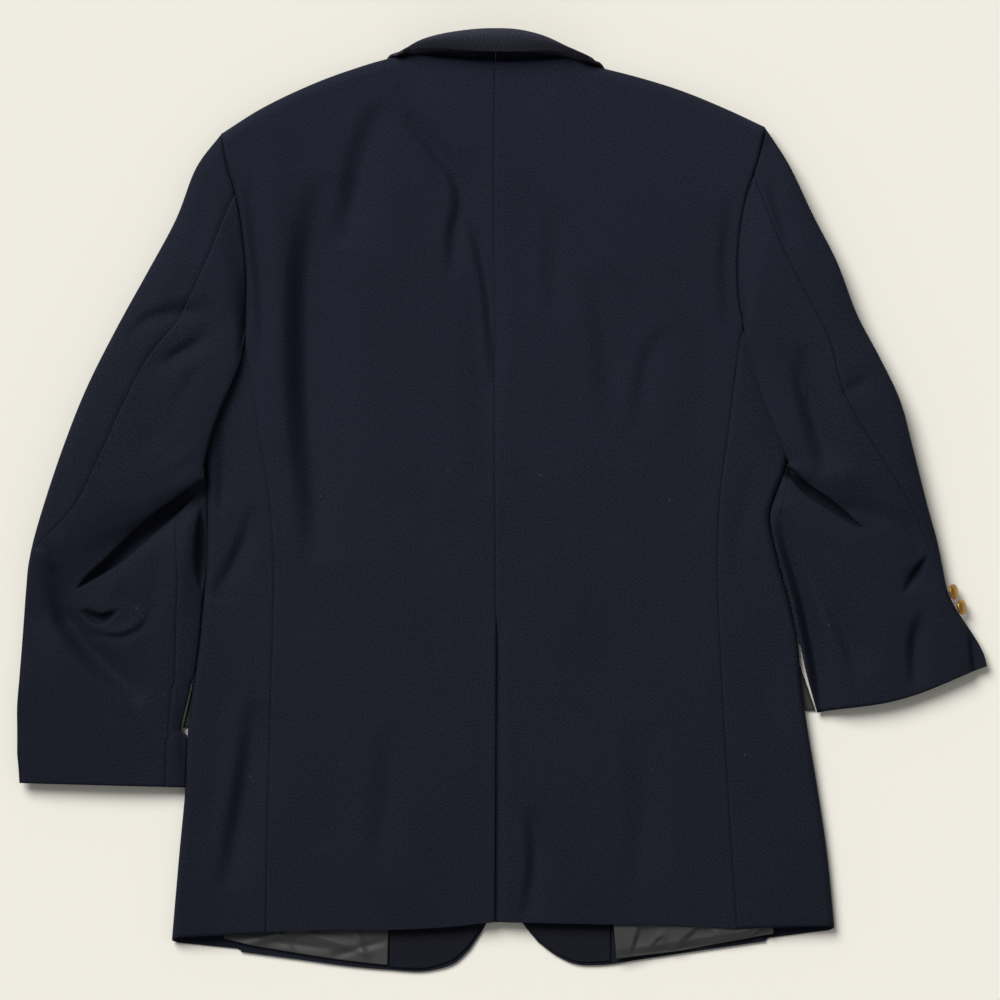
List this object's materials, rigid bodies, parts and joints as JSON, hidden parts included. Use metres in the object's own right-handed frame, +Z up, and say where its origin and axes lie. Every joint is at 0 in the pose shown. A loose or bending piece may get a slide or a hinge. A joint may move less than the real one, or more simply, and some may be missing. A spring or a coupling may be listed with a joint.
{
  "type": "blazer",
  "caption": "Navy single-breasted blazer laid flat face down, back up, with centre vent, two-piece sleeves, folded collar and brass buttons.",
  "frame": {"origin": "centre of the laid-out blazer's bounding box, on the surface it lies on", "axes": "+Z up from the surface through the garment's back, +Y towards the collar, +X towards the wearer's right side"},
  "size_m": [0.8718, 0.8494, 0.0502],
  "materials": {
    "navy_wool": "woven worsted wool, matt with a faint sheen",
    "grey_satin_lining": "satin",
    "brass": "polished"
  },
  "bodies": {
    "root": {"back_left": "navy_wool", "side_left": "navy_wool", "front_left": "navy_wool", "lapel_left": "navy_wool", "flap_left": "navy_wool", "facing_left": "navy_wool", "lining_left": "grey_satin_lining", "top_sleeve_left": "navy_wool", "under_sleeve_left": "navy_wool", "back_right": "navy_wool", "side_right": "navy_wool", "front_right": "navy_wool", "lapel_right": "navy_wool", "flap_right": "navy_wool", "facing_right": "navy_wool", "lining_right": "grey_satin_lining", "top_sleeve_right": "navy_wool", "under_sleeve_right": "navy_wool", "vent_underlap": "navy_wool", "collar_leaf": "navy_wool", "collar_stand": "navy_wool", "front_button_1": "brass", "front_button_2": "brass", "cuff_button_left_1": "brass", "cuff_button_left_2": "brass", "cuff_button_left_3": "brass", "cuff_button_left_4": "brass", "cuff_button_right_1": "brass", "cuff_button_right_2": "brass", "cuff_button_right_3": "brass", "cuff_button_right_4": "brass"}
  },
  "joints": []
}
